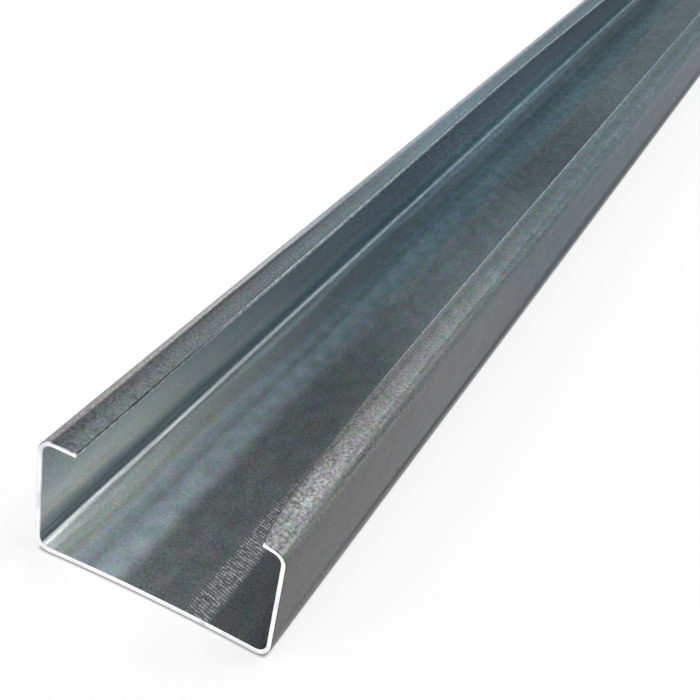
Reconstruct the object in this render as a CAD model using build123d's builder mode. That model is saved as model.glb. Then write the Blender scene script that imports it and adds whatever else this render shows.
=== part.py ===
from build123d import *

import os

# Lipped C purlin: one length of galvanised steel strip, roll-formed into a channel whose two
# flanges end in lips turned in towards each other. It lies on its web with the open side up.
#
# Frame: +X across the web, +Y along the length, +Z from the web's back towards the lips.
# Origin: the middle of the web's back face, half way along the length. Units are millimetres.

# The section, measured over the outside of the strip
WEB_WIDTH = 100.0
FLANGE_HEIGHT = 52.0
LIP_WIDTH = 16.0

# The strip and how it is bent
STRIP_THICKNESS = 2.0
INSIDE_BEND_RADIUS = 4.0

# The corners that the slitting knives leave on the two edges of the strip
SLIT_EDGE_BREAK = 0.3

# Stock length, cut square at both ends
STOCK_LENGTH = 3000.0

outside_bend_radius = INSIDE_BEND_RADIUS + STRIP_THICKNESS
half_web = WEB_WIDTH / 2
half_length = STOCK_LENGTH / 2
lip_edge = half_web - LIP_WIDTH

# The outer face of the strip, from the slit edge of one lip round to the slit edge of the other
outer_face = [
    (-lip_edge, FLANGE_HEIGHT),
    (-half_web, FLANGE_HEIGHT),
    (-half_web, 0),
    (half_web, 0),
    (half_web, FLANGE_HEIGHT),
    (lip_edge, FLANGE_HEIGHT),
]

# The section stands upright across the near end, and the strip runs from there along +Y
near_end = Plane(origin=(0, -half_length, 0), x_dir=(1, 0, 0), z_dir=(0, -1, 0))

with BuildPart() as purlin:
    with BuildSketch(near_end) as section:
        with BuildLine():
            FilletPolyline(*outer_face, radius=outside_bend_radius)
            # The inner face runs one thickness inside, and the slit edges close the outline
            offset(amount=STRIP_THICKNESS, side=Side.LEFT, closed=True)
        make_face()
        # Of the outline's straight runs the slit edges are the two shortest
        slit_edges = section.edges().filter_by(GeomType.LINE).sort_by(SortBy.LENGTH)[:2]
        fillet(slit_edges.vertices(), radius=SLIT_EDGE_BREAK)
    extrude(amount=-STOCK_LENGTH)

purlin.part.label = "purlin"

os.makedirs("parts", exist_ok=True)
export_step(purlin.part, "parts/purlin.step")
print("purlin", purlin.part.bounding_box().size, "volume", round(purlin.part.volume))
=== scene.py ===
# %% [markdown]
# # A lipped C purlin in galvanised steel
#
# A purlin is the long bar that roof or wall sheeting is screwed to. This one is a single strip of
# steel, 2 mm thick, that came off a coil already dipped in zinc and went through a row of rollers.
# They bent it four times: a flat web, two upright flanges, and two short lips turned in to stiffen
# the flanges. Nothing is welded or bolted to it, so the whole object is one piece.
#
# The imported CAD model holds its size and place. This lesson dresses it: a finer mesh of the same
# strip, its zinc coat, its bright cut ends, and then the floor, the light and the camera.

# %% Open the frame
import math

import bmesh
import bpy
from mathutils import Matrix, Vector


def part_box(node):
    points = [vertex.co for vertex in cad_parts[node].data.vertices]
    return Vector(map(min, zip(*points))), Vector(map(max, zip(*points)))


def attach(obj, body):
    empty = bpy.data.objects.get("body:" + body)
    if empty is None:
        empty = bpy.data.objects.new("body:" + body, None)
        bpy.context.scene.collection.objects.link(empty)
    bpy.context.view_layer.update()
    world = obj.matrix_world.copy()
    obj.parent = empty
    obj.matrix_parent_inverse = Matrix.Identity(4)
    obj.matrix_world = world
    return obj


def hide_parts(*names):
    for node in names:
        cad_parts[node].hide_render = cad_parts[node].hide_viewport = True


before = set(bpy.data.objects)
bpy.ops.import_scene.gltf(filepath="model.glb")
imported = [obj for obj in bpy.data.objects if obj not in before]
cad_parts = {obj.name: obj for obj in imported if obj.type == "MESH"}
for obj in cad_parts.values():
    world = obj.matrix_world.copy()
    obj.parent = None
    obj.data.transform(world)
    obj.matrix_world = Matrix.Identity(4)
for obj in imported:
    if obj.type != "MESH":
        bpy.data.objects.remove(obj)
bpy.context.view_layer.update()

# %% [markdown]
# ## The size of the strip
#
# Three sizes come from the frame, so the mesh always fits the solid: the web's width, the flanges'
# height and the length. The others are the sizes of the strip itself, in metres as Blender works.

# %% Sizes of the section
low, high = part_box("purlin")
HALF_WEB = (high.x - low.x) / 2
FLANGE_HEIGHT = high.z - low.z
NEAR_END = low.y
FAR_END = high.y
LIP_WIDTH = 0.016
THICKNESS = 0.002
INSIDE_BEND = 0.004
OUTSIDE_BEND = INSIDE_BEND + THICKNESS
SLIT_BREAK = 0.0003
print(f"half web {HALF_WEB:.3f}, flange {FLANGE_HEIGHT:.3f}, length {FAR_END - NEAR_END:.3f} m")

# %% [markdown]
# ## The outline of the strip
#
# The section could be drawn point by point, but a strip is simpler than its outline: it goes
# straight, turns, and goes straight again. So a walker starts in the middle of the web and follows
# the outer face to the slit edge of one lip. At each step it notes the place, the direction that
# looks into the steel, and how far along the flat strip it has come. That distance is worth
# keeping: the zinc went on before the strip was bent, so its streaks follow the strip round every
# corner.

# %% Walk from the middle of the web to the slit edge
FLAT_STEP = 0.0025
BEND_STEPS = 10


def walk_half(lean=0.0, lift=0.0, drop=0.0, trim=0.0):
    """Lists (place, into_steel, distance) along the outer face of the right half, in XZ.

    The flange leans out by lean and is lower by drop, the lip lifts by lift and is narrower by trim.
    """
    flats = (
        HALF_WEB - OUTSIDE_BEND,
        FLANGE_HEIGHT - 2 * OUTSIDE_BEND,
        LIP_WIDTH - OUTSIDE_BEND - SLIT_BREAK,
    )
    losses = (0, drop, trim)
    bends = (math.pi / 2 - lean, math.pi / 2 - lift, 0)
    place = Vector((0, 0))
    heading = 0.0
    distance = 0.0
    steps = [(place, Vector((0, 1)), distance)]
    for flat, loss, bend in zip(flats, losses, bends):
        into_steel = Vector((-math.sin(heading), math.cos(heading)))
        forward = Vector((math.cos(heading), math.sin(heading)))
        count = round(flat / FLAT_STEP)
        for _ in range(count):
            place = place + forward * (flat - loss) / count
            distance += (flat - loss) / count
            steps.append((place, into_steel, distance))
        centre = place + into_steel * OUTSIDE_BEND
        for _ in range(BEND_STEPS if bend else 0):
            heading += bend / BEND_STEPS
            into_steel = Vector((-math.sin(heading), math.cos(heading)))
            place = centre - into_steel * OUTSIDE_BEND
            distance += OUTSIDE_BEND * bend / BEND_STEPS
            steps.append((place, into_steel, distance))
    return steps


HALF_STRIP = walk_half()[-1][2]
print(f"{len(walk_half())} points in half a strip {HALF_STRIP * 1000:.1f} mm wide")

# %% [markdown]
# ## The ends of the bar
#
# Only the middle of a rolled bar is perfect. Where it is cut, the stresses of rolling let the
# flanges lean by half a degree. The bar in the picture has one more blemish: at the near cut its
# right corner is knocked down, the lip there is lifted a little, and its edge is ground back, from a
# third of its width at the cut to nothing a hand's length on. All of these fade along the bar, so
# each is one number at the cut times a curve that falls away. The left lip is narrower half a metre
# along, as it comes out when the strip wanders a little between the rolls.

# %% Lean, lift, drop and trim along the bar
# lean, lift, drop and trim of each side at the near cut
NEAR_CUT = {
    "left": (math.radians(-0.4), 0.0, 0.0, 0.0),
    "right": (math.radians(0.5), math.radians(11), 0.002, 0.0057),
}
FAR_LEAN = math.radians(-0.5)
LEAN_REACH = 0.045
LIFT_REACH = 0.040
TRIM_REACH = 0.045
TRIM_CURVE = 0.6
WANDER = 0.0031
WANDER_MIDDLE = 0.48
WANDER_REACH = 0.225


def end_shape(y, side):
    """Gives the lean, lift, drop and trim of one side at a place along the bar."""
    from_near = y - NEAR_END
    lean, lift, drop, trim = NEAR_CUT[side]
    lean = lean * math.exp(-from_near / LEAN_REACH) + FAR_LEAN * math.exp(-(FAR_END - y) / LEAN_REACH)
    lift = lift * math.exp(-from_near / LIFT_REACH)
    drop = drop * math.exp(-from_near / LIFT_REACH)
    trim = trim * math.exp(-(from_near / TRIM_REACH) ** TRIM_CURVE)
    if side == "left":
        trim = WANDER * math.exp(-((from_near - WANDER_MIDDLE) / WANDER_REACH) ** 2)
    return lean, lift, drop, trim


for from_cut in (0, 0.02, 0.1, 0.5):
    right_trim = end_shape(NEAR_END + from_cut, "right")[3]
    print(f"right lip {from_cut} m from the cut: {1000 * right_trim:.2f} mm trimmed")

# %% [markdown]
# ## A closed ring
#
# One ring of vertices runs along the outer face, round a slit edge, back along the inner face and
# round the other slit edge. Each point also keeps its distance across the flat strip, and which
# face it is on. On a slit edge that distance runs on into the thickness. The slitting knives leave
# the edge square, with its two corners just taken off.

# %% Close the ring round the slit edges
SLIT_STEPS = 3
OUTSIDE, INSIDE, SLIT = "outside", "inside", "slit"


def slit_edge(place, into_steel):
    """Lists (place, into_steel, depth) round the slit edge, from the outer face to the inner one."""
    forward = Vector((into_steel.y, -into_steel.x))
    points = []
    for depth, first in ((SLIT_BREAK, -90), (THICKNESS - SLIT_BREAK, 0)):
        centre = place + into_steel * depth
        for step in range(SLIT_STEPS + 1):
            turn = math.radians(first + 90 * step / SLIT_STEPS)
            outward = forward * math.cos(turn) + into_steel * math.sin(turn)
            point = centre + outward * SLIT_BREAK
            points.append((point, -outward, (point - place).dot(into_steel)))
    return points[1:-1]


def ring(y):
    """Lists (place, into_steel, distance, face) round the whole section at a place along the bar."""
    def mirrored(vector):
        return Vector((-vector.x, vector.y))

    right = walk_half(*end_shape(y, "right"))
    left = walk_half(*end_shape(y, "left"))
    right_slit = slit_edge(*right[-1][:2])
    left_slit = [(mirrored(p), mirrored(n), d) for p, n, d in slit_edge(*left[-1][:2])]
    across = [(mirrored(p), mirrored(n), -d) for p, n, d in left[:0:-1]] + right
    points = [(p, n, d, OUTSIDE) for p, n, d in across]
    points += [(p, n, HALF_STRIP + d, SLIT) for p, n, d in right_slit]
    points += [(p + n * THICKNESS, -n, d, INSIDE) for p, n, d in reversed(across)]
    points += [(p, n, -HALF_STRIP - d, SLIT) for p, n, d in reversed(left_slit)]
    return points


print(len(ring(0)), "points in one ring")

# %% [markdown]
# ## Rings along the length
#
# A straight bar needs few rings, but its ends have more to show, and the saw leaves the rim of the
# cut slightly broken. So the rings crowd together there and spread out along the rest. The near cut
# isn't quite square: its blade bowed, and left the web a millimetre short in the middle.

# %% Place the rings
RIM_BREAK = 0.0003
CROWDED = 0.15
CROWDED_RINGS = 22
SPACED_STEP = 0.025
HOLLOW = 0.0011
HOLLOW_REACH = 0.02


def hollow_cut(place, y):
    """Gives how far the web is set back near the cut: most in its middle, nothing at the bends."""
    if place.y > 2 * THICKNESS or y > NEAR_END + HOLLOW_REACH:
        return 0.0
    across = min(abs(place.x) / (HALF_WEB - OUTSIDE_BEND), 1)
    return HOLLOW * (1 - across ** 2) * (1 - (y - NEAR_END) / HOLLOW_REACH)


def ring_places():
    """Lists where the rings stand, from the near end to the far one."""
    crowded = [0.0, RIM_BREAK]
    # the squares crowd the rings at the cut, and the first of them would fall on the rim's break
    crowded += [CROWDED * (step / CROWDED_RINGS) ** 2 for step in range(2, CROWDED_RINGS)]
    middle = FAR_END - NEAR_END - 2 * CROWDED
    count = round(middle / SPACED_STEP)
    spaced = [CROWDED + middle * step / count for step in range(count + 1)]
    return [NEAR_END + d for d in crowded + spaced] + [FAR_END - d for d in reversed(crowded)]


places = ring_places()
print(len(places), "rings from", round(places[0], 4), "to", round(places[-1], 4))

# %% [markdown]
# ## The mesh
#
# Each ring is stitched to the next with quads. The UV map is the flat strip itself, in metres:
# across the strip and along it. The inner face is laid out one metre to the side, so that a
# material can tell it from the outer one. Faces of zinc, of the cut and of the slit edges get
# material slots of their own.

# %% Stitch the rings together
INNER_SHIFT = 1.0
ZINC_SLOT, CUT_SLOT, SLIT_SLOT = 0, 1, 2


def add_rows(shape):
    """Adds every ring's vertices, and returns them with the points that they stand on."""
    rows = []
    for y in places:
        inset = RIM_BREAK if y in (places[0], places[-1]) else 0.0
        points = ring(y)
        row = []
        for p, n, _, _ in points:
            place = Vector((p.x + n.x * inset, y + hollow_cut(p, y), p.y + n.y * inset))
            row.append(shape.verts.new(place))
        rows.append((row, points))
    return rows


def stitch(shape, rows):
    """Joins each ring to the next with quads, laid out on the flat strip."""
    strip_map = shape.loops.layers.uv.new("Strip")
    size = len(rows[0][0])
    for (row, points), (next_row, _) in zip(rows, rows[1:]):
        on_rim = row is rows[0][0] or next_row is rows[-1][0]
        for i in range(size):
            j = (i + 1) % size
            face = shape.faces.new((row[i], row[j], next_row[j], next_row[i]))
            flat = points[i][3] == points[j][3] != SLIT
            rim_slot = ZINC_SLOT if flat and points[i][3] == OUTSIDE else CUT_SLOT
            face.material_index = rim_slot if on_rim else ZINC_SLOT if flat else SLIT_SLOT
            shift = INNER_SHIFT if points[i][3] == INSIDE else 0.0
            across = [points[k][2] + shift for k in (i, j, j, i)]
            for loop, u in zip(face.loops, across):
                loop[strip_map].uv = (u, loop.vert.co.y)


print("stitching ready")

# %% [markdown]
# ## The ends of the mesh
#
# One big polygon could close each end, but it would have to bend round the whole section. Pairing
# each point of the outer face with the one across from it on the inner face gives a row of neat
# quads instead, and a small polygon fills the tip at each slit edge.

# %% Cap the ends
def cap(shape, row):
    """Closes one end: quads between the two faces of the strip, and a tip at each slit edge."""
    size = len(row)
    tip = 2 * SLIT_STEPS
    outer = size // 2 - tip
    mates = row[outer + tip:size - tip][::-1]
    faces = [(row[i], row[i + 1], mates[i + 1], mates[i]) for i in range(outer - 1)]
    faces.append(row[outer - 1:outer + tip + 1])
    faces.append(row[size - tip - 1:] + row[:1])
    for corners in faces:
        shape.faces.new(corners).material_index = CUT_SLOT


print("caps ready")

# %% [markdown]
# ## The bar itself
#
# The mesh is shaded smooth, so that ten steps look like a round bend, and edges sharper than
# 25 degrees stay sharp, which are those of the cuts. Then the solid's piece is hidden, and the bar
# is attached to the body it rides on.

# %% Build the bar
SHARP_ANGLE = math.radians(25)


def build_strip():
    mesh = bpy.data.meshes.new("purlin_strip")
    shape = bmesh.new()
    rows = add_rows(shape)
    stitch(shape, rows)
    cap(shape, rows[0][0])
    cap(shape, rows[-1][0])
    bmesh.ops.recalc_face_normals(shape, faces=shape.faces)
    shape.to_mesh(mesh)
    shape.free()
    mesh.shade_smooth()
    mesh.set_sharp_from_angle(angle=SHARP_ANGLE)
    return mesh


purlin = bpy.data.objects.new("purlin_strip", build_strip())
bpy.context.scene.collection.objects.link(purlin)
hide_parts("purlin")
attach(purlin, "root")
print(len(purlin.data.polygons), "faces in the strip")

# %% [markdown]
# ## Small helpers for materials
#
# A Blender material is a graph of nodes, and building it in Python takes three lines a node. These
# helpers bring that to one, so that the graph of a finish reads as the list of its layers.

# %% Helpers that add one node each
def add_node(tree, kind, **values):
    """Adds a node, sets its properties, and sets or links its inputs, by name or as in_0, in_1."""
    node = tree.nodes.new(kind)
    for name, value in values.items():
        if name in node.inputs:
            socket = node.inputs[name]
        elif name.startswith("in_"):
            socket = node.inputs[int(name[3:])]
        else:
            setattr(node, name, value)
            continue
        if isinstance(value, bpy.types.NodeSocket):
            tree.links.new(value, socket)
        else:
            socket.default_value = value
    return node


def maths(tree, operation, first, second=0.0):
    """One operation on two numbers or sockets."""
    return add_node(tree, "ShaderNodeMath", operation=operation, in_0=first, in_1=second).outputs[0]


def product(tree, *values):
    """Multiplies numbers or sockets."""
    total = values[0]
    for value in values[1:]:
        total = maths(tree, "MULTIPLY", total, value)
    return total


def spread(tree, value, low, high, to_low, to_high):
    """Eases a value from low..high to to_low..to_high, and holds it at both ends."""
    node = add_node(tree, "ShaderNodeMapRange", interpolation_type="SMOOTHSTEP", Value=value)
    ends = {"From Min": low, "From Max": high, "To Min": to_low, "To Max": to_high}
    for name, number in ends.items():
        node.inputs[name].default_value = number
    return node.outputs["Result"]


print("number helpers ready")

# %% [markdown]
# ## Helpers for colours
#
# A Mix node has one row of sockets for numbers and another for colours, so its sockets are best
# called by number: the factor is input 0, the colours are inputs 6 and 7, and the mix is output 2.

# %% Helpers for colours and materials
def blend(tree, factor, first, second, blend_type="MIX"):
    """Mixes two colours."""
    node = add_node(tree, "ShaderNodeMix", data_type="RGBA", blend_type=blend_type)
    for index, value in ((0, factor), (6, first), (7, second)):
        if isinstance(value, bpy.types.NodeSocket):
            tree.links.new(value, node.inputs[index])
        else:
            node.inputs[index].default_value = value
    return node.outputs[2]


def grey(tree, level):
    """A grey of this level."""
    return add_node(tree, "ShaderNodeCombineXYZ", X=level, Y=level, Z=level).outputs[0]


def new_material(name):
    material = bpy.data.materials.new(name)
    material.use_nodes = True
    return material, material.node_tree, material.node_tree.nodes["Principled BSDF"]


print("colour helpers ready")

# %% [markdown]
# ## Patterns laid on the strip
#
# Everything on the zinc is drawn in the flat strip's own coordinates, in metres. A noise is given
# by the size of its blotches in millimetres, across and along the strip: 6 by 9 is a mottle, and
# 1.8 by 350 is a long streak. One pattern serves every face, and it turns the corners of the bends
# just as the coated strip did. Noise seldom leaves the middle of its range, so that middle is what
# gets stretched to a pattern's darkest and lightest value.

# %% Strip coordinates, noise and soft bands
# parts of a noise's range from 0 to 1 that hold nearly all of it: the wider, the softer the pattern
WIDE_RANGE = (0.25, 0.75)
MIDDLE_RANGE = (0.28, 0.72)
NARROW_RANGE = (0.3, 0.7)


def strip_place(tree):
    return add_node(tree, "ShaderNodeUVMap", uv_map="Strip").outputs["UV"]


def scaled(tree, place, scale, offset=(0, 0, 0)):
    """Multiplies a place by a scale and adds an offset."""
    for operation, amount in (("MULTIPLY", scale), ("ADD", offset)):
        node = add_node(tree, "ShaderNodeVectorMath", operation=operation, in_0=place, in_1=amount)
        place = node.outputs[0]
    return place


def blotches(tree, across_mm, along_mm, detail, shift):
    """Noise from 0 to 1 with blotches of about this size; a shift of its own makes it different."""
    place = scaled(tree, strip_place(tree), (1000 / across_mm, 1000 / along_mm, 1), (0, 0, shift))
    return add_node(tree, "ShaderNodeTexNoise", Vector=place, Scale=1.0, Detail=detail).outputs["Fac"]


def band(tree, across, low, high, edge):
    """1 between low and high on the strip, 0 outside, over a soft edge."""
    rise = spread(tree, across, low - edge / 2, low + edge / 2, 0, 1)
    fall = spread(tree, across, high - edge / 2, high + edge / 2, 1, 0)
    return product(tree, rise, fall)


print("pattern helpers ready")

# %% [markdown]
# ## Where the zinc is lighter or darker
#
# Hot zinc runs off the strip in long bands, the rolls polish some of them and the air dulls others.
# A few of the bands here are such streaks, but most are painted light and shade: light falling in
# at the open end, a painted highlight along the left bend, a dark painted reflection low on the
# left flange, painted shade under the right flange and lip, and painted reflections that fade
# along the bar. A plain studio has none of the surroundings that the bar mirrored, so they are part
# of the coat here. Each band is a range across the flat strip with a soft edge. It has one gain
# from the cut to where its change starts, and another from where the change ends. The numbers are
# millimetres, across from the middle of the web and along from the near cut. They were chosen one
# by one: measure how bright a region is in the picture and in the render, lighten or darken a band,
# and render again.

# %% Bands inside
# low, high, edge, first gain, last gain, start and end of the change
# most rows are painted light and shade: the lit left side near the cut, the highlight along the left
# bend, the shade under the right flange and lip; a few are streaks
INNER_STREAK_AND_SHADING_BANDS = [
    (-92, -60, 5, 1.10, 0.88, 20, 140),
    (-92, -41, 5, 1.00, 1.42, 300, 520),
    (-61.5, -56.5, 3, 0.75, 1.16, 20, 140),
    (-66, -59.5, 4, 0.82, 0.93, 0, 100),
    (-55.4, -51.6, 1.2, 0.95, 0.86, 30, 110),
    (-59.5, -52, 7, 0.40, 0.66, 50, 230),
    (-48.2, -46.8, 0.8, 0.80, 0.92, 0, 260),
    (-46.9, -45.2, 1, 1.40, 1.12, 20, 70),
    (-44.5, -41, 1.5, 1.25, 1.00, 5, 25),
    (-49.5, -44, 2, 1.12, 0.66, 0, 80),
    (-49.5, -44, 2, 1.00, 1.30, 120, 260),
    (-45.4, -41.6, 2, 1.72, 1.14, 0, 90),
    (-41.5, -37, 2, 1.28, 1.00, 30, 130),
    (-41.5, -34.5, 3, 1.00, 1.32, 330, 450),
    (-45.4, -41.6, 2, 1.05, 1.36, 110, 200),
    (-46, -32, 6, 1.58, 0.72, 30, 270),
    (-33, -27.3, 4, 1.52, 0.84, 80, 300),
    (-28.5, -24.5, 3, 1.02, 0.84, 100, 330),
    (-25, -14, 8, 1.88, 1.08, 0, 220),
    (-24.8, -18.2, 3, 1.00, 1.15, 70, 170),
    (-24.8, -18.2, 4, 1.00, 0.84, 230, 420),
    (-12, 24, 8, 0.70, 0.66, 0, 120),
    (2, 13, 5, 0.90, 0.92, 0, 100),
    (-12, 24, 5, 1.00, 1.52, 150, 300),
    (-12, 24, 5, 1.00, 0.82, 350, 470),
    (-12, 50, 5, 1.00, 1.40, 500, 680),
    (-40, -14, 5, 1.00, 1.12, 500, 680),
    (24.5, 115, 3, 0.43, 0.43, 0, 100),
    (36, 115, 6, 1.35, 1.10, 10, 50),
]

print(len(INNER_STREAK_AND_SHADING_BANDS), "bands inside")

# %% [markdown]
# ## The bands outside
#
# The outside shows its bends, which catch the light in lines a millimetre or two wide, so its bands
# are narrower. Most of them are painted light and shade: painted highlights along the bends,
# painted shade at the foot of the right flange and along it, and painted reflections that change
# along the bar. Two broad rows only lighten what would otherwise turn too dark: the left and the
# back of the bar, and the far half of the right side. Light that only grazes a metal takes hardly
# any of its base colour. So the faces that are seen at a flat angle have bands of the same kind for
# the shader's specular tint, which is the colour of that grazing light: a painted reflection,
# lighter or darker band by band.

# %% Bands outside
# the same columns as inside
# painted highlights on the bends, painted shade at the foot and along the right flange, and two broad
# rows of painted light
OUTER_STREAK_AND_SHADING_BANDS = [
    (-91, 40, 3, 1.60, 1.60, 0, 100),
    (40, 115, 3, 1.00, 1.60, 800, 1500),
    (-112.3, -110.3, 1.5, 1.00, 1.30, 170, 260),
    (-113, -107, 4, 1.42, 1.30, 0, 160),
    (-112, -103.5, 3, 0.97, 0.85, 60, 140),
    (-112, -103.5, 3, 1.00, 1.35, 250, 450),
    (-104.2, -102.2, 1, 0.85, 0.50, 40, 130),
    (-104.2, -102.2, 1, 1.00, 1.90, 170, 300),
    (-102.4, -99.2, 1.2, 2.10, 1.15, 150, 260),
    (-99.3, -93, 1.5, 0.90, 1.80, 0, 110),
    (-95.5, -92, 1, 1.25, 1.38, 0, 60),
    (44, 46.2, 1, 0.80, 0.36, 0, 300),
    (46, 48, 1.5, 0.80, 0.62, 0, 300),
    (48, 50.3, 1, 0.80, 0.92, 60, 150),
    (50.3, 53, 0.8, 0.82, 0.82, 0, 100),
    (53, 55.6, 1.2, 0.92, 0.68, 10, 170),
    (55.6, 60, 2.5, 0.92, 0.50, 5, 200),
    (60, 64.5, 4, 1.00, 0.68, 190, 350),
    (56, 93, 4, 0.655, 0.54, 170, 400),
    (92, 96.5, 3, 0.93, 0.80, 60, 200),
    (95, 97.8, 1, 1.20, 1.00, 60, 130),
    (97, 99.5, 1.2, 0.60, 0.85, 30, 130),
    (98.0, 99.8, 1, 1.00, 1.25, 30, 100),
    (98.3, 101.5, 1, 0.85, 0.60, 30, 90),
    (98.3, 101.5, 1, 1.00, 1.40, 170, 300),
    (99.8, 103.5, 1.2, 1.22, 1.07, 20, 120),
    (101, 104.4, 1.5, 0.52, 1.00, 6, 28),
    (101, 107.5, 2.5, 1.90, 1.50, 80, 450),
    (104.5, 108, 2.5, 1.02, 0.88, 60, 130),
    (107.5, 113, 2.5, 1.14, 1.25, 20, 120),
    (108.5, 113.5, 2, 1.00, 1.18, 280, 430),
    (110.5, 113.5, 1.5, 0.80, 1.00, 60, 260),
    (104, 113, 3, 0.66, 1.00, 10, 40),
]
# painted reflection: the grazing light made darker at the foot and along the right flange, lighter on
# the left shoulder
GRAZED_SHEEN_BANDS = [
    (-99.5, -93, 1.5, 0.92, 1.10, 10, 90),
    (44, 47.8, 1, 1.00, 0.78, 30, 300),
    (50.3, 53, 0.8, 0.82, 0.78, 0, 100),
    (53.2, 55.6, 1, 1.00, 1.25, 60, 170),
    (56, 59.8, 2.5, 0.96, 0.70, 5, 90),
    (60, 64, 3, 1.00, 0.76, 190, 350),
    (60, 93, 4, 1.00, 0.90, 170, 330),
]

print(len(OUTER_STREAK_AND_SHADING_BANDS), "bands outside, and", len(GRAZED_SHEEN_BANDS), "for grazing light")

# %% [markdown]
# ## From bands to one brightness
#
# An image could hold all of this, but it would have to be as long as the bar, and no band in it
# could be changed by itself. Here each row turns into a soft mask across the strip and a gain that
# eases along it. Where the mask is 0 the row counts as 1, so all the rows can simply be multiplied.

# %% Brightness of all the bands of a face
def partly(tree, share, value):
    """Goes from 1 to a value as the share goes from 0 to 1."""
    rest = maths(tree, "SUBTRACT", value, 1.0)
    node = add_node(tree, "ShaderNodeMath", operation="MULTIPLY_ADD", in_0=share, in_1=rest, in_2=1.0)
    return node.outputs[0]


def band_gain(tree, bands, across, along):
    """One brightness for all the bands of a face."""
    total = 1.0
    for low, high, edge, first, last, start, end in bands:
        mask = band(tree, across, low / 1000, high / 1000, edge / 1000)
        gain = spread(tree, along, NEAR_END + start / 1000, NEAR_END + end / 1000, first, last)
        total = product(tree, total, partly(tree, mask, gain))
    return total


print("bands ready")

# %% [markdown]
# ## Clouds, mottle, streaks and grain
#
# Up close a zinc coat is never even. Broad clouds come from the bath, a mottle the size of a
# fingernail from how the zinc froze, fine streaks from the wiping knives, and grain from its
# crystals. One noise could not hold sizes from 1 mm to 16 cm, so each is a layer of its own, and
# all of them multiply the same brightness.

# %% Brightness of the coat
# blotch across, blotch along, detail, darkest, lightest
COAT_LAYERS = [
    (40, 160, 2, 0.92, 1.08),
    (6, 9, 3, 0.97, 1.03),
    (1.8, 350, 1, 0.98, 1.02),
    (1.1, 1.4, 2, 0.87, 1.13),
]
LAYER_SHIFT = 7.3


def coat_brightness(tree):
    total = 1.0
    for number, (across_mm, along_mm, detail, dark, light) in enumerate(COAT_LAYERS):
        layer = blotches(tree, across_mm, along_mm, detail, LAYER_SHIFT * number)
        total = product(tree, total, spread(tree, layer, *MIDDLE_RANGE, dark, light))
    return total


print(len(COAT_LAYERS), "layers of brightness")

# %% [markdown]
# ## Coarser grain
#
# The outside, the lips and the dark middle of the web are rougher than the rest, and from a hand's
# length on everything looks grainier, most of all the inside of the left flange. Two more noises do
# that. Each is laid on by a share, from 0 for none of it to 1 for all of it.

# %% Extra grain
# blotch across, blotch along, detail, darkest, lightest
OUTER_GRAIN = (1.1, 1.5, 3, 0.75, 1.25)
FAR_GRAIN = (1.6, 5, 3, 0.85, 1.15)
OUTER_GRAIN_SHIFT = 37
FAR_GRAIN_SHIFT = 51
# low, high and edge on the layout, in metres
DARK_WEB = (INNER_SHIFT - 0.012, INNER_SHIFT + 0.120, 0.004)
LEFT_FLANGE_INSIDE = (INNER_SHIFT - 0.094, INNER_SHIFT - 0.050, 0.004)
RIGHT_LIP = (0.098, 0.120, 0.003)
WEB_SHARE = 0.75
NEAR_LIP_SHARE = 0.9
NEAR_REACH = 0.15
OUTER_GRAIN_END = 0.40
OUTER_GRAIN_KEPT = 0.5
FAR_GRAIN_START = 0.05
FAR_GRAIN_END = 0.45


def grain_layer(tree, sizes, share, shift):
    """1 plus a grain, in the share that is asked for."""
    across_mm, along_mm, detail, dark, light = sizes
    noise = blotches(tree, across_mm, along_mm, detail, shift)
    return partly(tree, share, spread(tree, noise, *MIDDLE_RANGE, dark, light))


def extra_grain(tree, across, along, on_lips, inner):
    """Coarser grain on the lips and outside, and in the dark middle of the web."""
    outside = maths(tree, "SUBTRACT", 1.0, inner)
    web = product(tree, band(tree, across, *DARK_WEB), WEB_SHARE)
    near = spread(tree, along, NEAR_END, NEAR_END + NEAR_REACH, NEAR_LIP_SHARE, 0)
    near_lip = product(tree, band(tree, across, *RIGHT_LIP), near)
    share = maths(tree, "MAXIMUM", maths(tree, "MAXIMUM", on_lips, outside), web)
    share = maths(tree, "ADD", share, near_lip)
    fading = spread(tree, along, NEAR_END + NEAR_REACH, NEAR_END + OUTER_GRAIN_END, 1, OUTER_GRAIN_KEPT)
    return grain_layer(tree, OUTER_GRAIN, product(tree, share, fading), OUTER_GRAIN_SHIFT)


def far_grain(tree, across, along):
    """Coarser crystals from a hand's length on, and twice as strong inside the left flange."""
    share = spread(tree, along, NEAR_END + FAR_GRAIN_START, NEAR_END + FAR_GRAIN_END, 0, 1)
    doubled = maths(tree, "ADD", band(tree, across, *LEFT_FLANGE_INSIDE), 1.0)
    return grain_layer(tree, FAR_GRAIN, product(tree, share, doubled), FAR_GRAIN_SHIFT)


print("grain ready")

# %% [markdown]
# ## The tint of the coat
#
# Fresh zinc is a neutral grey, and turns blue-green as it dulls. So each face has its own tint at
# the cut. All of them drift towards blue-green further along, and a good part of the way back
# beyond that. One tint for the whole bar would be simpler, but the picture has grey flanges beside
# a blue-green web. Each zone is a range across the layout, in metres, with its two tints.

# %% Tints of the zinc
OUTSIDE_TINTS = ((1.06, 1.02, 1.02, 1), (0.72, 1.02, 1.28, 1))
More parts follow.
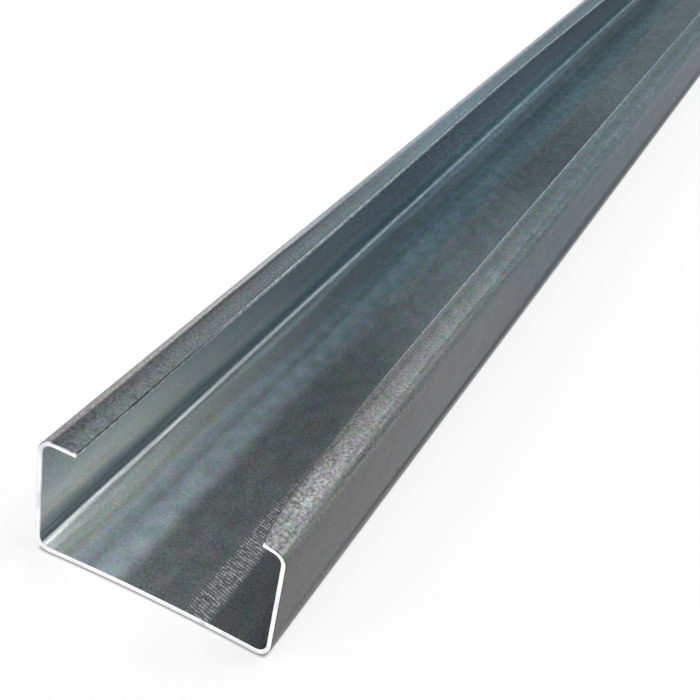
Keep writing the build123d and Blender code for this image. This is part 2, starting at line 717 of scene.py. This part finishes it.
# low, high, tint at the cut, tint further on
TINT_ZONES = [
    (-0.120, -0.103, (0.91, 1.02, 1.08, 1), (0.68, 1.02, 1.20, 1)),
    (-0.101, -0.090, (1.02, 1.02, 1.02, 1), (0.94, 1.02, 1.06, 1)),
    (0.096, 0.120, (0.98, 1.02, 1.03, 1), (0.75, 1.02, 1.10, 1)),
    (INNER_SHIFT - 0.120, INNER_SHIFT - 0.0585, (1.03, 1.01, 0.99, 1), (1.02, 1.00, 1.19, 1)),
    (INNER_SHIFT - 0.0585, INNER_SHIFT - 0.048, (0.85, 1.02, 1.13, 1), (0.66, 1.02, 1.17, 1)),
    (INNER_SHIFT - 0.048, INNER_SHIFT - 0.034, (0.94, 1.02, 1.01, 1), (0.71, 1.02, 1.14, 1)),
    (INNER_SHIFT - 0.034, INNER_SHIFT - 0.014, (0.83, 1.02, 1.11, 1), (0.60, 1.02, 1.17, 1)),
    (INNER_SHIFT - 0.014, INNER_SHIFT + 0.120, (0.90, 1.02, 1.08, 1), (0.70, 1.02, 1.14, 1)),
]
ZONE_EDGE = 0.004
TINT_START = 0.05
TINT_END = 0.40
MIDDLE_OF_WEB = (INNER_SHIFT - 0.012, INNER_SHIFT + 0.050, 0.006)
MIDDLE_LOSS = 0.5
TINT_BACK_START = 0.60
TINT_BACK_END = 1.30
TINT_KEPT = 0.4


def zone_tint(tree, across, along):
    """The tint of each face, which drifts to blue-green and part of the way back."""
    drift = spread(tree, along, NEAR_END + TINT_START, NEAR_END + TINT_END, 0, 1)
    loss = product(tree, band(tree, across, *MIDDLE_OF_WEB), MIDDLE_LOSS)
    back = spread(tree, along, NEAR_END + TINT_BACK_START, NEAR_END + TINT_BACK_END, 1, TINT_KEPT)
    drift = product(tree, drift, maths(tree, "SUBTRACT", 1.0, loss), back)
    tint = blend(tree, drift, *OUTSIDE_TINTS)
    for low, high, near, far in TINT_ZONES:
        mask = band(tree, across, low, high, ZONE_EDGE)
        tint = blend(tree, mask, tint, blend(tree, drift, near, far))
    return tint


print(len(TINT_ZONES), "zones of tint")

# %% [markdown]
# ## Coloured spots
#
# Seen close, oxide lies on the zinc in spots of green, mauve, blue and brown, a few millimetres
# long. They are faint, but they tell zinc from grey paint. Each kind is the peaks of one noise: a
# spot starts at one height of the noise, and has its full colour at another.

# %% Spots
# size across and along in millimetres, shift, and colour
SPOTS = [
    (5, 9, 31, (0.82, 1.08, 0.87, 1)),
    (3.5, 6, 43, (1.13, 0.95, 1.09, 1)),
    (3, 5, 57, (0.92, 0.98, 1.14, 1)),
    (4, 8, 67, (1.08, 1.00, 0.88, 1)),
]
SPOT_DETAIL = 4
SPOT_RANGE = (0.46, 0.64)
FEWER_SPOTS = 0.65
# the bend inside on the left that carries the painted highlight, where spots are fewer
HIGHLIGHT_BEND = (INNER_SHIFT - 0.051, INNER_SHIFT - 0.043, 0.002)
HIGHLIGHT_SPOT_LOSS = 0.5


def coat_tint(tree, across, along):
    """The tint of each face with its spots, which are fewer near the cut and on the bend with the
    painted highlight.
    """
    tint = zone_tint(tree, across, along)
    strength = spread(tree, along, NEAR_END, NEAR_END + TINT_END, FEWER_SPOTS, 1)
    loss = product(tree, band(tree, across, *HIGHLIGHT_BEND), HIGHLIGHT_SPOT_LOSS)
    strength = maths(tree, "SUBTRACT", strength, loss)
    for across_mm, along_mm, shift, spot in SPOTS:
        noise = blotches(tree, across_mm, along_mm, SPOT_DETAIL, shift)
        amount = product(tree, spread(tree, noise, *SPOT_RANGE, 0, 1), strength)
        tint = blend(tree, amount, tint, blend(tree, 1.0, tint, spot, "MULTIPLY"))
    return tint


print(len(SPOTS), "kinds of spots")

# %% [markdown]
# ## The mark of the feed roll
#
# A band one finger wide near the cut is cross-hatched with fine light lines, such as a knurled roll
# leaves where it grips the strip. Modelling a thousand scratches would cost more than they show, so
# they are two sets of lines in the material. Rails run along the strip, and ticks slant across it
# and stick out on both sides, like the teeth of a comb. Noise bends the lines a little and wears
# gaps into them, and they fade out a hand's length from the cut.

# %% Lines of the hatched band
HATCH_LOW = INNER_SHIFT + 0.0137
HATCH_HIGH = INNER_SHIFT + 0.0240
HATCH_EDGE = 0.0006
HATCH_REACH = 0.13


def lines(tree, value, pitch, share):
    """Soft lines at a pitch, about as wide as a share of it."""
    half_width = share / 2
    phase = maths(tree, "FRACT", maths(tree, "DIVIDE", value, pitch))
    from_middle = maths(tree, "ABSOLUTE", maths(tree, "SUBTRACT", phase, 0.5))
    return spread(tree, from_middle, half_width / 2, half_width * 3 / 2, 1, 0)


def hatch_band(tree, across, inset):
    return band(tree, across, HATCH_LOW + inset, HATCH_HIGH - inset, HATCH_EDGE)


def hatch_fading(tree, along):
    return spread(tree, along, NEAR_END + HATCH_REACH / 2, NEAR_END + HATCH_REACH, 1, 0)


print(f"hatched band {1000 * (HATCH_HIGH - HATCH_LOW):.0f} mm wide")

# %% [markdown]
# ## Rails and ticks
#
# The rails sit at one distance across, and the ticks at another along. Both are drawn lighter than
# the coat, and where they cross they add up.

# %% Cross-hatching
RAIL_PITCH = 0.00098
RAIL_SHARE = 0.28
RAIL_STRENGTH = 0.45
TICK_PITCH = 0.0015
TICK_SHARE = 0.30
TICK_STRENGTH = 0.55
TICK_SLANT = 0.28
TICK_LENGTH_OVER = 0.0008
BENT = 0.0003
# blotch across, blotch along, detail, shift
BENT_NOISE = (4, 5, 2, 79)
WORN_NOISE = (2.4, 2.0, 3, 71)
WORN_RANGE = (0.36, 0.62)
WORN_LEAST = 0.15


def hatching(tree, across, along):
    """1 on the lines of the band, less where they are worn."""
    bent = spread(tree, blotches(tree, *BENT_NOISE), *WIDE_RANGE, -BENT, BENT)
    across = maths(tree, "ADD", across, bent)
    slanted = maths(tree, "ADD", along, product(tree, across, TICK_SLANT))
    slanted = maths(tree, "ADD", slanted, bent)
    ticks = product(tree, lines(tree, slanted, TICK_PITCH, TICK_SHARE), hatch_band(tree, across, 0.0))
    rails = lines(tree, across, RAIL_PITCH, RAIL_SHARE)
    rails = product(tree, rails, hatch_band(tree, across, TICK_LENGTH_OVER))
    grid = maths(tree, "ADD", product(tree, ticks, TICK_STRENGTH), product(tree, rails, RAIL_STRENGTH))
    worn = spread(tree, blotches(tree, *WORN_NOISE), *WORN_RANGE, WORN_LEAST, 1)
    return product(tree, grid, worn, hatch_fading(tree, along))


print(f"rails {1000 * RAIL_PITCH:.2f} mm apart, ticks {1000 * TICK_PITCH:.2f} mm")

# %% [markdown]
# ## Splashes
#
# Small splashes of white rust dot the inside here and there. Noise would make them ragged, so they
# are cells of a Voronoi pattern: a round dot sits in the middle of each cell, and the cell's random
# colour decides whether it keeps the dot. A dot is solid over the inner part of its radius, and
# fades over the rest.

# %% Dots in the cells of a pattern
DOT_CORE = 0.6


def dots(tree, cell_mm, dot_mm, kept, shift):
    """1 inside round dots, in a share of the cells."""
    place = scaled(tree, strip_place(tree), (1000 / cell_mm, 1000 / cell_mm, 1), (shift, 0, 0))
    cells = add_node(tree, "ShaderNodeTexVoronoi", voronoi_dimensions="2D", Vector=place, Scale=1.0)
    radius = dot_mm / cell_mm / 2
    dot = spread(tree, cells.outputs["Distance"], DOT_CORE * radius, radius, 1, 0)
    chance = add_node(tree, "ShaderNodeSeparateColor", Color=cells.outputs["Color"]).outputs[0]
    return product(tree, dot, maths(tree, "LESS_THAN", chance, kept))


print("dots ready")

# %% [markdown]
# ## The level of the coat
#
# Now the layers come together, first as a level of grey: the base of a face times its bands, its
# clouds and its grain. The outer face has the darker base, as painted shade: it mirrors the white
# floor, which would show it too bright. The bands run straight on the layout, so a slow noise lets
# them stray by a millimetre, more inside than outside, where the rolls held them in line.

# %% Grey level of the zinc
INNER_BASE = 0.30
# the outer face's base is darker as painted shade, against the white floor that it mirrors
OUTER_SHADED_BASE = 0.20
STRAY = 0.0012
OUTER_STRAY_SHARE = 0.3
# blotch across, blotch along, detail, shift
STRAY_NOISE = (40, 90, 2, 3)


def coat_level(tree, across, along, on_lips, inner):
    """The coat's grey level all over the strip."""
    stray = spread(tree, blotches(tree, *STRAY_NOISE), *WIDE_RANGE, -STRAY, STRAY)
    outer_across = maths(tree, "ADD", across, product(tree, stray, OUTER_STRAY_SHARE))
    inner_across = maths(tree, "SUBTRACT", maths(tree, "ADD", across, stray), INNER_SHIFT)
    # the gains of the bands are mostly painted light and shade
    inside = product(tree, band_gain(tree, INNER_STREAK_AND_SHADING_BANDS, inner_across, along), INNER_BASE)
    outside = product(tree, band_gain(tree, OUTER_STREAK_AND_SHADING_BANDS, outer_across, along), OUTER_SHADED_BASE)
    # a Mix node takes its two numbers in inputs 2 and 3
    face = add_node(tree, "ShaderNodeMix", in_0=inner, in_2=outside, in_3=inside).outputs[0]
    grain = extra_grain(tree, across, along, on_lips, inner)
    return product(tree, face, coat_brightness(tree), grain, far_grain(tree, across, along))


print(f"zinc base {OUTER_SHADED_BASE} outside and {INNER_BASE} inside")

# %% [markdown]
# ## The colour of the coat
#
# The level is multiplied by the tint, and the marks are laid over it in the order in which the real
# ones came. The feed roll pressed its band dull and scratched light lines into it, then the white
# rust splashed, and last the lips were pitted dark near the cut. The pits have no round shape, so
# they are the peaks of a noise.

# %% Colour of the zinc
LIPS = (0.100, 0.120, 0.002)
HATCH_DULL = (0.72, 0.72, 0.72, 1)
HATCH_COLOUR = (0.92, 0.94, 0.98, 1)
SPLASH_CELL_MM = 14
SPLASH_MM = 0.9
SPLASHES_KEPT = 0.22
SPLASH_SHIFT = 0.4
SPLASH_COLOUR = (0.36, 0.42, 0.42, 1)
# blotch across, blotch along, detail, shift
PIT_NOISE = (2.6, 3.2, 2, 83)
PIT_RANGE = (0.53, 0.70)
PIT_STRENGTH = 0.6
PIT_REACH = 0.16
PIT_COLOUR = (0.05, 0.055, 0.06, 1)


def zinc_colour(tree, across, along):
    """The coat's colour all over the strip."""
    inner = maths(tree, "GREATER_THAN", across, INNER_SHIFT / 2)
    on_lips = band(tree, maths(tree, "ABSOLUTE", across), *LIPS)
    level = coat_level(tree, across, along, on_lips, inner)
    colour = blend(tree, 1.0, coat_tint(tree, across, along), grey(tree, level), "MULTIPLY")
    pressed = product(tree, hatch_band(tree, across, 0.0), hatch_fading(tree, along))
    colour = blend(tree, pressed, colour, blend(tree, 1.0, colour, HATCH_DULL, "MULTIPLY"))
    colour = blend(tree, hatching(tree, across, along), colour, HATCH_COLOUR)
    splashes = dots(tree, SPLASH_CELL_MM, SPLASH_MM, SPLASHES_KEPT, SPLASH_SHIFT)
    colour = blend(tree, product(tree, splashes, inner), colour, SPLASH_COLOUR)
    pitted = spread(tree, blotches(tree, *PIT_NOISE), *PIT_RANGE, 0, 1)
    near = spread(tree, along, NEAR_END, NEAR_END + PIT_REACH, PIT_STRENGTH, 0)
    return blend(tree, product(tree, pitted, near, on_lips), colour, PIT_COLOUR)


print("zinc colour ready")

# %% [markdown]
# ## Gloss and bump
#
# Zinc is neither a mirror nor a paint: it blurs what it reflects, a little more here than there.
# Its crystals stand a hundredth of a millimetre high. They could be modelled, but they show only in
# how they bend the light, so a chain of three bumps does it: the crystals, the mottle, and the slow
# waves of a thin sheet, which make the reflections waver. The shader is nearly all metal, with a
# little matt dust and oxide, and its gloss follows the mottle of the brightness.

# %% Gloss and bump of the zinc
# blotch across, blotch along, detail, shift, and height in metres
BUMPS = [
    (1.2, 1.5, 2, 11, 0.00001),
    (6, 9, 2, 17, 0.000008),
    (35, 140, 1, 23, 0.00012),
]
METAL_SHARE = 0.85
ROUGHNESS_LOW = 0.35
ROUGHNESS_HIGH = 0.40
EDGE_TINT = (0.69, 0.70, 0.71, 1)
MOTTLE = 1


def zinc_bump(tree):
    """The three bumps, each added to the normal of the one before."""
    normal = None
    for across_mm, along_mm, detail, shift, height in BUMPS:
        noise = blotches(tree, across_mm, along_mm, detail, shift)
        bump = add_node(tree, "ShaderNodeBump", Height=noise, Strength=1.0, Distance=height)
        if normal:
            tree.links.new(normal, bump.inputs["Normal"])
        normal = bump.outputs["Normal"]
    return normal


def zinc_material():
    material, tree, shader = new_material("zinc_coat")
    shader.inputs["Metallic"].default_value = METAL_SHARE
    place = add_node(tree, "ShaderNodeSeparateXYZ", Vector=strip_place(tree))
    across, along = place.outputs["X"], place.outputs["Y"]
    # the tint of the grazing light carries a painted reflection, band by band
    grazed = product(tree, band_gain(tree, GRAZED_SHEEN_BANDS, across, along), far_grain(tree, across, along))
    edge_tint = blend(tree, 1.0, grey(tree, grazed), EDGE_TINT, "MULTIPLY")
    mottle = blotches(tree, *COAT_LAYERS[MOTTLE][:3], LAYER_SHIFT * MOTTLE)
    roughness = spread(tree, mottle, *NARROW_RANGE, ROUGHNESS_LOW, ROUGHNESS_HIGH)
    tree.links.new(zinc_colour(tree, across, along), shader.inputs["Base Color"])
    tree.links.new(edge_tint, shader.inputs["Specular Tint"])
    tree.links.new(roughness, shader.inputs["Roughness"])
    tree.links.new(zinc_bump(tree), shader.inputs["Normal"])
    return material


purlin.data.materials.append(zinc_material())
print(len(purlin.data.materials[ZINC_SLOT].node_tree.nodes), "nodes in the zinc coat")

# %% [markdown]
# ## The cut ends
#
# The saw went through the zinc, so each end shows bright bare steel with a few dull smudges. The
# ends have no place on the flat strip, so their pattern is laid out in the object's own
# coordinates, which need no unwrapping. A faint bump roughens it.

# %% Cut steel
# size of the smudges in millimetres, along X, Y and Z
SMUDGE_SIZE = (7.0, 7.0, 20.0)
SMUDGE_RANGE = (0.3, 0.5)
SMUDGE_HEIGHT = 0.00004
SMUDGE_DETAIL = 2.0
CUT_COLOURS = ((0.72, 0.72, 0.79, 1), (0.98, 0.99, 1.00, 1))
CUT_METAL_SHARE = 0.1
CUT_ROUGHNESS = 0.45


def cut_steel():
    """Bright bare steel with dull smudges."""
    material, tree, shader = new_material("cut_steel")
    shader.inputs["Metallic"].default_value = CUT_METAL_SHARE
    shader.inputs["Roughness"].default_value = CUT_ROUGHNESS
    where = add_node(tree, "ShaderNodeTexCoord").outputs["Object"]
    place = scaled(tree, where, tuple(1000 / size for size in SMUDGE_SIZE))
    noise = add_node(tree, "ShaderNodeTexNoise", Vector=place, Scale=1.0, Detail=SMUDGE_DETAIL)
    smudges = noise.outputs["Fac"]
    colour = blend(tree, spread(tree, smudges, *SMUDGE_RANGE, 0, 1), *CUT_COLOURS)
    bump = add_node(tree, "ShaderNodeBump", Height=smudges, Strength=1.0, Distance=SMUDGE_HEIGHT)
    tree.links.new(colour, shader.inputs["Base Color"])
    tree.links.new(bump.outputs["Normal"], shader.inputs["Normal"])
    return material


purlin.data.materials.append(cut_steel())
print("cut steel in slot", CUT_SLOT)

# %% [markdown]
# ## The slit edges
#
# The long edges were slit from a wider coil. A knife shears the first part of the thickness clean,
# and tears the rest, so each edge has a smooth band and a dark rough one. The dark band beside the
# outer face is also painted shade, where the lip's top meets its edge. They could be two strips of
# faces, but their border is ragged, so a material draws it: the layout of the slit edge says how
# deep in the thickness a point lies. For a hand's length from the cut both bands are darker, as
# painted shade, and beyond it they are lighter, as a painted highlight along the edge.

# %% Slit steel
# near the cut, in painted shade, and beyond it, lighter as a painted highlight
TORN_AND_SHADED_COLOURS = ((0.07, 0.075, 0.08, 1), (0.55, 0.59, 0.63, 1))
CLEAN_AND_HIGHLIGHT_COLOURS = ((0.50, 0.54, 0.54, 1), (0.74, 0.80, 0.86, 1))
TORN_AND_SHADED_DEPTH = 0.00065
RAGGED = 0.0002
SHADE_FADE_START = 0.06
SHADE_FADE_END = 0.15
# blotch across, blotch along, detail, shift
RAGGED_NOISE = (2, 9, 3, 91)
GRIT_NOISE = (2, 3, 3, 97)
GRIT_DARK = 0.5
GRIT_LIGHT = 1.3
SLIT_METAL_SHARE = 0.3
SLIT_ROUGHNESS = 0.4


def slit_steel():
    """A dark band beside the outer face, torn steel and painted shade, and a clean one beside it; both
    in painted shade near the cut and lighter beyond, a painted highlight.
    """
    material, tree, shader = new_material("slit_steel")
    shader.inputs["Metallic"].default_value = SLIT_METAL_SHARE
    shader.inputs["Roughness"].default_value = SLIT_ROUGHNESS
    place = add_node(tree, "ShaderNodeSeparateXYZ", Vector=strip_place(tree))
    ragged = spread(tree, blotches(tree, *RAGGED_NOISE), *NARROW_RANGE, -RAGGED, RAGGED)
    depth = maths(tree, "SUBTRACT", maths(tree, "ABSOLUTE", place.outputs["X"]), HALF_STRIP)
    depth = maths(tree, "ADD", depth, ragged)
    clean = spread(tree, depth, TORN_AND_SHADED_DEPTH - RAGGED, TORN_AND_SHADED_DEPTH + RAGGED, 0, 1)
    far = spread(tree, place.outputs["Y"], NEAR_END + SHADE_FADE_START, NEAR_END + SHADE_FADE_END, 0, 1)
    grit = spread(tree, blotches(tree, *GRIT_NOISE), *NARROW_RANGE, GRIT_DARK, GRIT_LIGHT)
    colour = blend(tree, clean, blend(tree, far, *TORN_AND_SHADED_COLOURS), blend(tree, far, *CLEAN_AND_HIGHLIGHT_COLOURS))
    colour = blend(tree, 1.0, colour, grey(tree, grit), "MULTIPLY")
    tree.links.new(colour, shader.inputs["Base Color"])
    return material


purlin.data.materials.append(slit_steel())
print([material.name for material in purlin.data.materials])

# %% [markdown]
# ## The floor
#
# The bar lies on its web on a pale floor. The picture's ground is plain white, and light strong
# enough to wash out a floor would wash out the steel too. So the floor is a matt white that keeps
# the bar's shadow, and where the camera or a reflection sees it, most of it is plain white. That
# plain white would hide the thin dark line where the bar touches the floor, so it darkens within
# two millimetres of the steel.

# %% Material of the floor
FLOOR_COLOUR = (0.85, 0.85, 0.85, 1)
FLOOR_WHITE_SHARE = 0.8
CONTACT_REACH = 0.0018
CONTACT_SHADE = 0.28
# how open a point is to the sky, where the line is darkest and where it ends
CONTACT_RANGE = (0.5, 0.95)
CONTACT_SAMPLES = 8


def floor_material():
    material = bpy.data.materials.new("pale_floor")
    material.use_nodes = True
    tree = material.node_tree
    tree.nodes.clear()
    ray = add_node(tree, "ShaderNodeLightPath").outputs
    seen = maths(tree, "MAXIMUM", ray["Is Camera Ray"], ray["Is Glossy Ray"])
    seen = maths(tree, "MAXIMUM", seen, ray["Is Transmission Ray"])
    share = product(tree, seen, FLOOR_WHITE_SHARE)
    matt = add_node(tree, "ShaderNodeBsdfDiffuse", Color=FLOOR_COLOUR).outputs[0]
    near = add_node(tree, "ShaderNodeAmbientOcclusion", samples=CONTACT_SAMPLES, Distance=CONTACT_REACH)
    shade = spread(tree, near.outputs["AO"], *CONTACT_RANGE, CONTACT_SHADE, 1)
    white = add_node(tree, "ShaderNodeEmission", Color=grey(tree, shade), Strength=1.0).outputs[0]
    both = add_node(tree, "ShaderNodeMixShader", Fac=share, in_1=matt, in_2=white).outputs[0]
    add_node(tree, "ShaderNodeOutputMaterial", Surface=both)
    return material


print("floor material ready")

# %% [markdown]
# ## The floor's mesh
#
# One flat square is enough, and it is large, so that its edge lies far beyond the bar from every
# side. It is part of the stage, not of the purlin.

# %% Floor
FLOOR_HALF = 12
floor_mesh = bpy.data.meshes.new("floor")
floor_shape = bmesh.new()
bmesh.ops.create_grid(floor_shape, x_segments=1, y_segments=1, size=FLOOR_HALF)
floor_shape.to_mesh(floor_mesh)
floor_shape.free()
floor = bpy.data.objects.new("floor", floor_mesh)
bpy.context.scene.collection.objects.link(floor)
floor.data.materials.append(floor_material())
print("floor", 2 * FLOOR_HALF, "m square")

# %% [markdown]
# ## The studio around it
#
# Steel shows its surroundings more than itself, so they matter as much as its colour. Down in the
# open side the web mirrors what is low in the distance, so the horizon is fairly light and the air
# above it dim, and the lamps do the rest.

# %% World
HORIZON_STRENGTH = 0.85
AIR_STRENGTH = 0.10
AIR_HEIGHT = 0.45
world = bpy.data.worlds.new("studio")
bpy.context.scene.world = world
world.use_nodes = True
sky = world.node_tree
sight = add_node(sky, "ShaderNodeTexCoord").outputs["Generated"]
height = add_node(sky, "ShaderNodeSeparateXYZ", Vector=sight).outputs["Z"]
strength = spread(sky, height, 0, AIR_HEIGHT, HORIZON_STRENGTH, AIR_STRENGTH)
sky.links.new(strength, sky.nodes["Background"].inputs["Strength"])
sky.nodes["Background"].inputs["Color"].default_value = (1, 1, 1, 1)
print("horizon", HORIZON_STRENGTH, "air", AIR_STRENGTH)

# %% [markdown]
# ## Soft lamps
#
# Four broad lamps stand far off, so they light the whole bar alike. Two hang beyond the bar to the
# right: they draw the bright line in the left bend, and their light dies away along the inside. One
# stands low beyond it to the left, and the last is behind the camera, for the cut.

# %% Lamps
def direction(azimuth, elevation):
    """The unit vector that points there: azimuth from +Y towards +X, elevation above the floor."""
    level = math.cos(elevation)
    return Vector((math.sin(azimuth) * level, math.cos(azimuth) * level, math.sin(elevation)))


def soft_lamp(name, azimuth, elevation, strength, width):
    """A distant lamp: where it stands and how wide it looks in the sky, all in degrees."""
    lamp = bpy.data.lights.new(name, "SUN")
    lamp.energy = strength
    lamp.angle = math.radians(width)
    holder = bpy.data.objects.new(name, lamp)
    bpy.context.scene.collection.objects.link(holder)
    towards = direction(math.radians(azimuth), math.radians(elevation))
    holder.rotation_euler = towards.to_track_quat("Z", "Y").to_euler()
    print(name, "lamp at", azimuth, elevation, "strength", strength)


soft_lamp("overhead", 20, 70, strength=1.55, width=35)
soft_lamp("window", 40, 40, strength=1.05, width=30)
soft_lamp("low", -30, 15, strength=0.35, width=30)
soft_lamp("front", -145, 35, strength=1.9, width=60)

# %% [markdown]
# ## The camera
#
# The picture looks down on the near end from a little to its right, and its camera was rolled to
# one side. The camera's place and angles were found by matching the corners of the section and the
# long edges. The lens is given by its focal length in pixels of a frame 700 pixels wide, because
# that holds for a sensor of any size.

# %% Camera
CAMERA_PLACE = Vector((0.1585, NEAR_END - 0.2831, 0.3337))
YAW = math.radians(19.54)
PITCH = math.radians(33.38)
ROLL = math.radians(10.75)
FOCAL_PIXELS = 1246.9
FRAME_PIXELS = 700
SENSOR_WIDTH = 36
forward = direction(-YAW, -PITCH)
level = Vector((math.cos(YAW), math.sin(YAW), 0))
upright = level.cross(forward)
right = level * math.cos(ROLL) + upright * math.sin(ROLL)
up = upright * math.cos(ROLL) - level * math.sin(ROLL)
camera_data = bpy.data.cameras.new("camera")
camera_data.sensor_width = SENSOR_WIDTH
camera_data.lens = FOCAL_PIXELS / FRAME_PIXELS * SENSOR_WIDTH
camera = bpy.data.objects.new("camera", camera_data)
bpy.context.scene.collection.objects.link(camera)
turn = Matrix((right, up, -forward)).transposed()
camera.matrix_world = Matrix.Translation(CAMERA_PLACE) @ turn.to_4x4()
bpy.context.scene.camera = camera
distance = (CAMERA_PLACE - Vector((0, NEAR_END, 0))).length
print(f"lens {camera_data.lens:.1f} mm, {distance:.2f} m from the cut")

# %% [markdown]
# ## Finish
#
# The Standard view shows colours as they are written. A dressed bar that outgrew its solid would no
# longer fit where the solid does.

# %% Finish
bpy.context.scene.view_settings.view_transform = "Standard"
